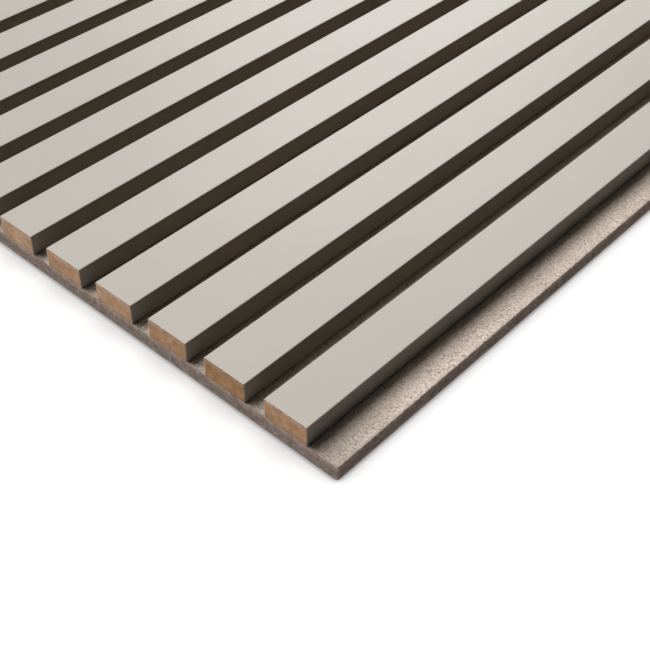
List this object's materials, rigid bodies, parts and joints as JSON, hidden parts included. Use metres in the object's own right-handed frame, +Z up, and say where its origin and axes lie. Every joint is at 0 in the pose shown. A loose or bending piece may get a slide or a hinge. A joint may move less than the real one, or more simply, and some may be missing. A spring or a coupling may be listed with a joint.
{
  "type": "acoustic slat panel",
  "caption": "Flat sound-absorbing wall panel: foil-wrapped MDF slats run side by side along a felt backing, with open gaps between them and a bare felt lap on one long edge.",
  "frame": {"origin": "middle of the felt's back face, at the middle of the panel's box", "axes": "+Y along the slats, +X across them towards the bare felt lap, +Z up out of the felt through the slats"},
  "size_m": [0.606, 2.4, 0.0214],
  "materials": {
    "felt": "needled polyester felt, greige, with short fibres and pores",
    "mdf": "bare brown MDF, sawn",
    "foil": "warm light grey decor foil, matt with a slight sheen"
  },
  "bodies": {
    "root": {"felt_backing": "felt", "slat_01_core": "mdf", "slat_01_foil": "foil", "slat_02_core": "mdf", "slat_02_foil": "foil", "slat_03_core": "mdf", "slat_03_foil": "foil", "slat_04_core": "mdf", "slat_04_foil": "foil", "slat_05_core": "mdf", "slat_05_foil": "foil", "slat_06_core": "mdf", "slat_06_foil": "foil", "slat_07_core": "mdf", "slat_07_foil": "foil", "slat_08_core": "mdf", "slat_08_foil": "foil", "slat_09_core": "mdf", "slat_09_foil": "foil", "slat_10_core": "mdf", "slat_10_foil": "foil", "slat_11_core": "mdf", "slat_11_foil": "foil", "slat_12_core": "mdf", "slat_12_foil": "foil", "slat_13_core": "mdf", "slat_13_foil": "foil", "slat_14_core": "mdf", "slat_14_foil": "foil", "slat_15_core": "mdf", "slat_15_foil": "foil"}
  },
  "joints": []
}
